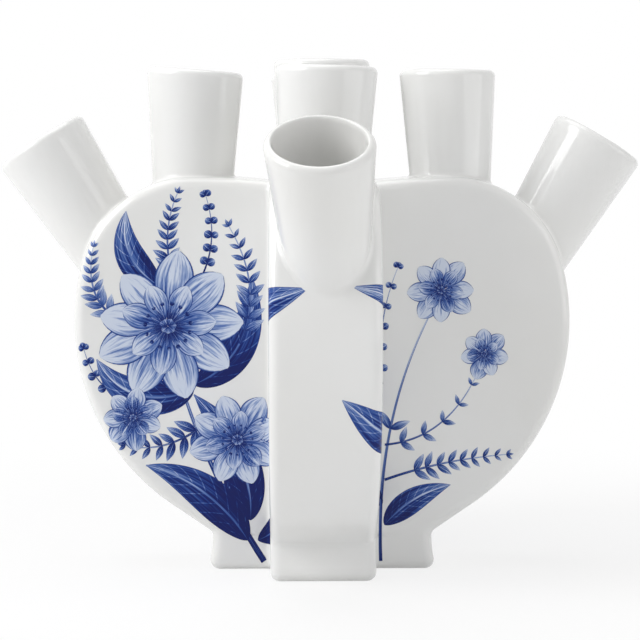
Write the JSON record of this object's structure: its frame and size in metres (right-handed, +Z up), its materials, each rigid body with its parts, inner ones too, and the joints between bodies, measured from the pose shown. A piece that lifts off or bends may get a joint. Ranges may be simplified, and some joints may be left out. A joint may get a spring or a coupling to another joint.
{
  "type": "tulipiere",
  "caption": "Flower vase of flat lobed wings crossing at right angles on a cross-shaped foot, with flared spouts on top that share one water chamber.",
  "frame": {"origin": "on the table, under the crossing of the wings", "axes": "+Z up along the centre spout, front wing towards -Y, right wing towards +X"},
  "size_m": [0.254, 0.2531, 0.2013],
  "materials": {
    "white_glaze": "gloss",
    "cobalt_painting": "gloss"
  },
  "bodies": {
    "root": {"wing_front": "white_glaze", "wing_right": "white_glaze", "wing_back": "white_glaze", "wing_left": "white_glaze", "foot": "white_glaze", "spout_center": "white_glaze", "spout_inner_front": "white_glaze", "spout_inner_right": "white_glaze", "spout_inner_back": "white_glaze", "spout_inner_left": "white_glaze", "spout_outer_front": "white_glaze", "spout_outer_right": "white_glaze", "spout_outer_back": "white_glaze", "spout_outer_left": "white_glaze"}
  },
  "joints": []
}
